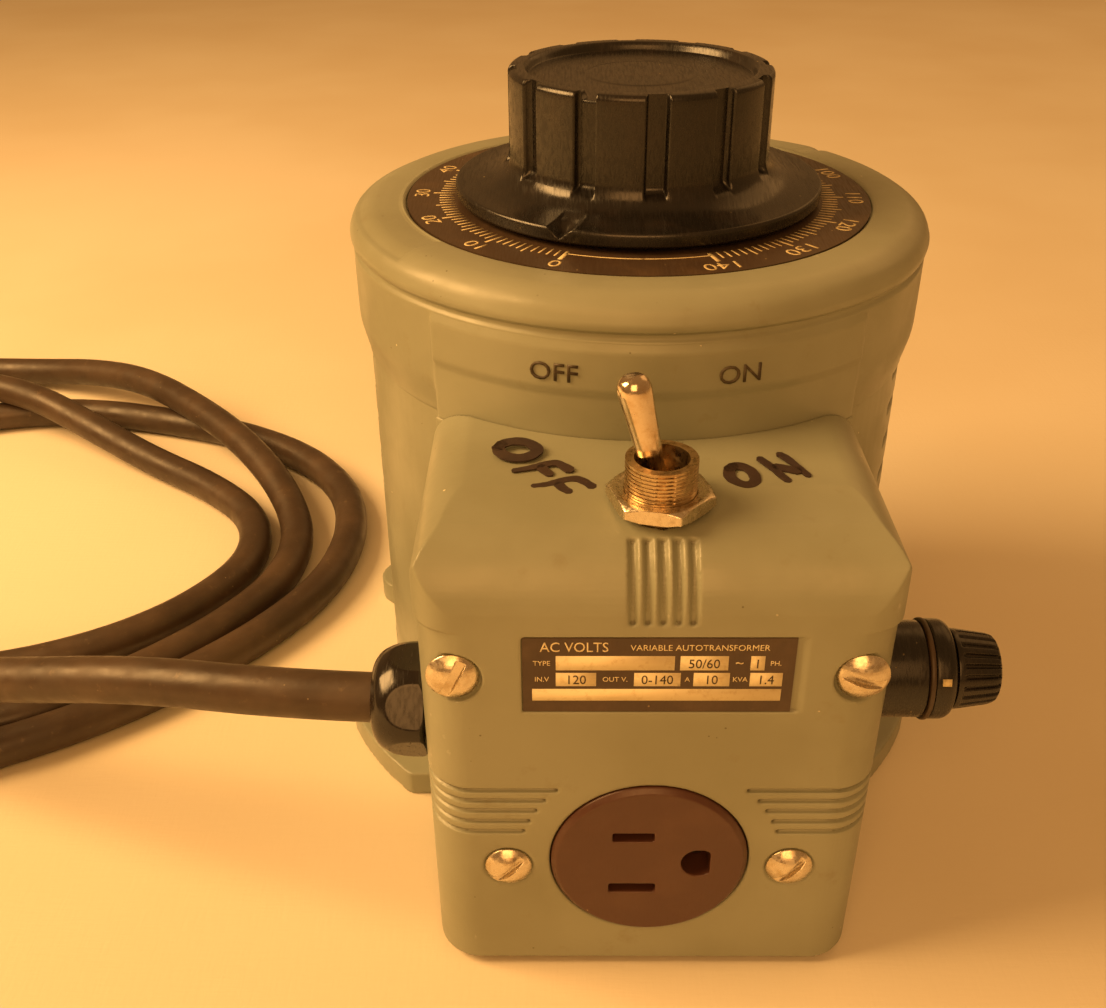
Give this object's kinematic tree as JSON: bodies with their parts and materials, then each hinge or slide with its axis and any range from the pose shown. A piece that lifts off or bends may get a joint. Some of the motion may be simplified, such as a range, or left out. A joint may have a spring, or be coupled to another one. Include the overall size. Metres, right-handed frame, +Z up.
{
  "type": "variable autotransformer",
  "caption": "Bench variable autotransformer: round case with a toroidal winding, dial and knob, and a front box with toggle switch, fuse, outlet and a coiled supply cord.",
  "frame": {"origin": "on the knob's axis, in the plane of the base's underside", "axes": "+Z up along the knob's axis, -Y towards the terminal box and outlet, +X towards the fuse holder"},
  "size_m": [0.376, 0.2627, 0.1461],
  "materials": {
    "case_paint": "satin grey-green enamel on cast metal",
    "black_phenolic": "moulded phenolic",
    "gland_nylon": "gloss moulded nylon",
    "dial_black": "satin lacquer with pale marks",
    "plate_dark": "etched and filled plate with blank pale fields",
    "plated_steel": "nickel plate, worn",
    "lever_chrome": "polished plate",
    "dull_steel": "mill finish",
    "outlet_brown": "moulded oxblood phenolic",
    "brass_parts": "stamped brass",
    "bronze_bearing": "sintered bronze",
    "core_steel": "wound strip steel",
    "copper_wire": "enamelled copper wire",
    "fibre_board": "pressed fibre",
    "alloy": "pressed aluminium",
    "carbon": "sintered carbon",
    "switch_phenolic": "moulded phenolic",
    "rubber_black": "satin jacket, scuffed",
    "lead_insulation": "plain insulation",
    "fuse_tube": "clear tube",
    "fuse_metal": "nickel-plated brass"
  },
  "bodies": {
    "case": {"base_plate": "case_paint", "case_drum": "case_paint", "case_top": "case_paint", "base_screws": "plated_steel", "cap_screws": "plated_steel", "dial_plate": "dial_black", "toroid_core": "core_steel", "winding": "copper_wire", "commutator_track": "copper_wire", "lower_insulator": "fibre_board", "core_clamp_plate": "alloy", "core_clamp_studs": "dull_steel", "lower_bearing": "bronze_bearing", "upper_bearing": "bronze_bearing", "stop_block": "dull_steel", "terminal_cover": "case_paint", "cover_screws": "plated_steel", "cover_brackets": "dull_steel", "nameplate": "plate_dark", "outlet_face": "outlet_brown", "outlet_body": "outlet_brown", "outlet_contacts": "brass_parts", "outlet_strap": "dull_steel", "outlet_screws": "plated_steel", "outlet_terminal_screws": "brass_parts", "switch_bushing": "plated_steel", "switch_nut": "plated_steel", "switch_washer": "plated_steel", "switch_body": "switch_phenolic", "switch_terminals": "brass_parts", "lever_pin": "plated_steel", "fuse_holder_body": "black_phenolic", "fuse_holder_nut": "black_phenolic", "fuse_gasket": "rubber_black", "fuse_terminals": "brass_parts", "cord_gland": "gland_nylon", "gland_body": "gland_nylon", "gland_lock_nut": "gland_nylon", "gland_grommet": "rubber_black", "power_cord": "rubber_black", "power_cord_coil": "rubber_black", "power_cord_tail": "rubber_black", "plug_body": "rubber_black", "plug_blades": "brass_parts", "plug_ground_pin": "brass_parts", "internal_leads": "lead_insulation"},
    "rotor": {"shaft": "dull_steel", "thrust_collar": "dull_steel", "collar_screw": "plated_steel", "brush_arm": "alloy", "brush_holder": "brass_parts", "brush_spring": "dull_steel", "stop_arm": "dull_steel", "knob": "black_phenolic", "knob_set_screw": "plated_steel"},
    "brush": {"carbon_brush": "carbon"},
    "switch_lever": {"toggle_lever": "lever_chrome"},
    "fuse_link": {"fuse_glass": "fuse_tube", "fuse_end_caps": "fuse_metal"},
    "fuse_cap_body": {"fuse_cap": "black_phenolic"}
  },
  "joints": [
    {"name": "knob_turn", "type": "hinge", "parent": "case", "child": "rotor", "pos_m": [0, 0, 0.12], "axis": [0, 0, -1], "range_deg": [-4, 316]},
    {"name": "brush_lift", "type": "slide", "parent": "rotor", "child": "brush", "axis": [0, 0, 1], "range_m": [0, 0.0015], "stiffness_N_per_m": 250, "springref_m": -0.003, "deforming": ["brush_spring"]},
    {"name": "switch_throw", "type": "hinge", "parent": "case", "child": "switch_lever", "pos_m": [0.0004, -0.081, 0.095], "axis": [0, 1, 0], "range_deg": [0, 28]},
    {"name": "fuse_pull", "type": "slide", "parent": "case", "child": "fuse_link", "axis": [1, 0, 0], "range_m": [0, 0.045]},
    {"name": "fuse_cap_turn", "type": "hinge", "parent": "fuse_link", "child": "fuse_cap_body", "pos_m": [0.05, -0.076, 0.0556], "axis": [1, 0, 0], "range_deg": [0, 90]}
  ]
}
